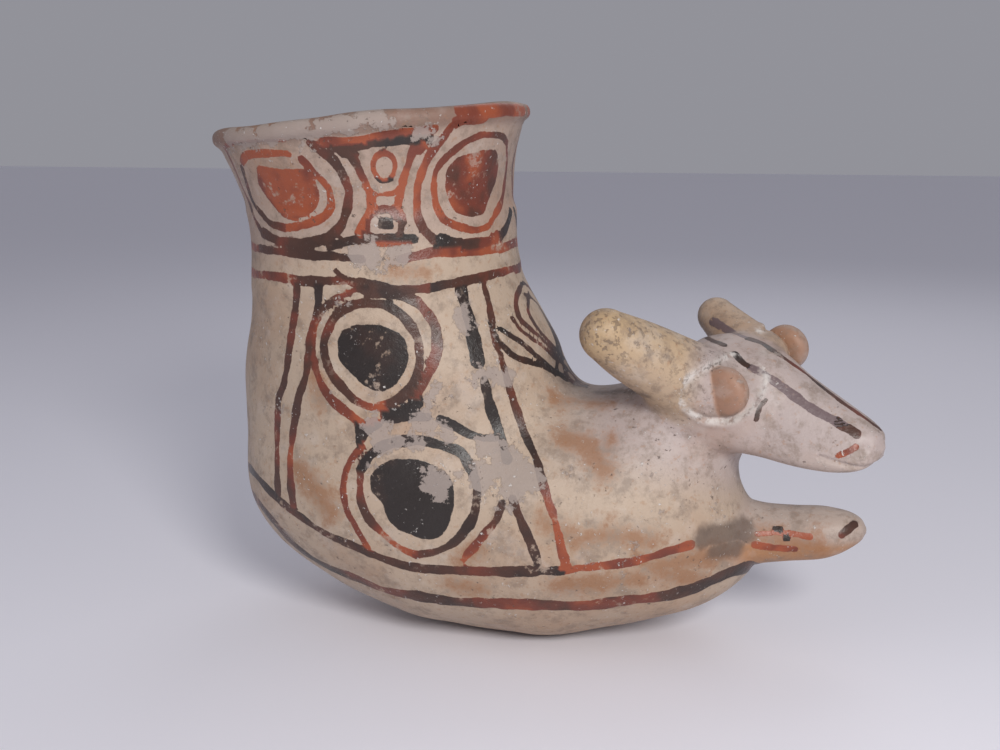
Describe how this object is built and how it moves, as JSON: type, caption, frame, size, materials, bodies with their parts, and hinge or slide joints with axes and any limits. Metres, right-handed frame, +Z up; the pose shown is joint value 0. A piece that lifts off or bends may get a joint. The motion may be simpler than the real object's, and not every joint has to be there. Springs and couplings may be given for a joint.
{
  "type": "rhyton",
  "caption": "Painted pottery rhyton shaped as a lying animal: flared mouth over the rump, hollow shaft and boat-shaped belly, eared head and folded forelegs in front.",
  "frame": {"origin": "middle of the flat patch under the belly, on which the vessel rests", "axes": "+X forwards to the animal's head, +Y to its left, +Z up"},
  "size_m": [0.2383, 0.1138, 0.1902],
  "materials": {
    "painted_buff_slip": "burnished cream slip with dark brown and red painted bands, worn, lime specks",
    "painted_collar_slip": "burnished cream slip with red and dark painted rings, worn, lime specks",
    "red_brown_rim": "worn dark red-brown paint over clay",
    "grey_buff_slip": "greyish pink slip, pitted, slightly glossy",
    "ochre_slip": "ochre clay with dark specks, burnished",
    "red_brown_pellet": "burnished red-brown clay pellet"
  },
  "bodies": {
    "root": {"lower_body": "painted_buff_slip", "shaft": "painted_buff_slip", "collar": "painted_collar_slip", "rim_coil": "red_brown_rim", "forelegs": "ochre_slip", "neck": "grey_buff_slip", "head": "grey_buff_slip", "ear_right": "ochre_slip", "ear_left": "ochre_slip", "eye_right": "red_brown_pellet", "eye_left": "red_brown_pellet"}
  },
  "joints": []
}
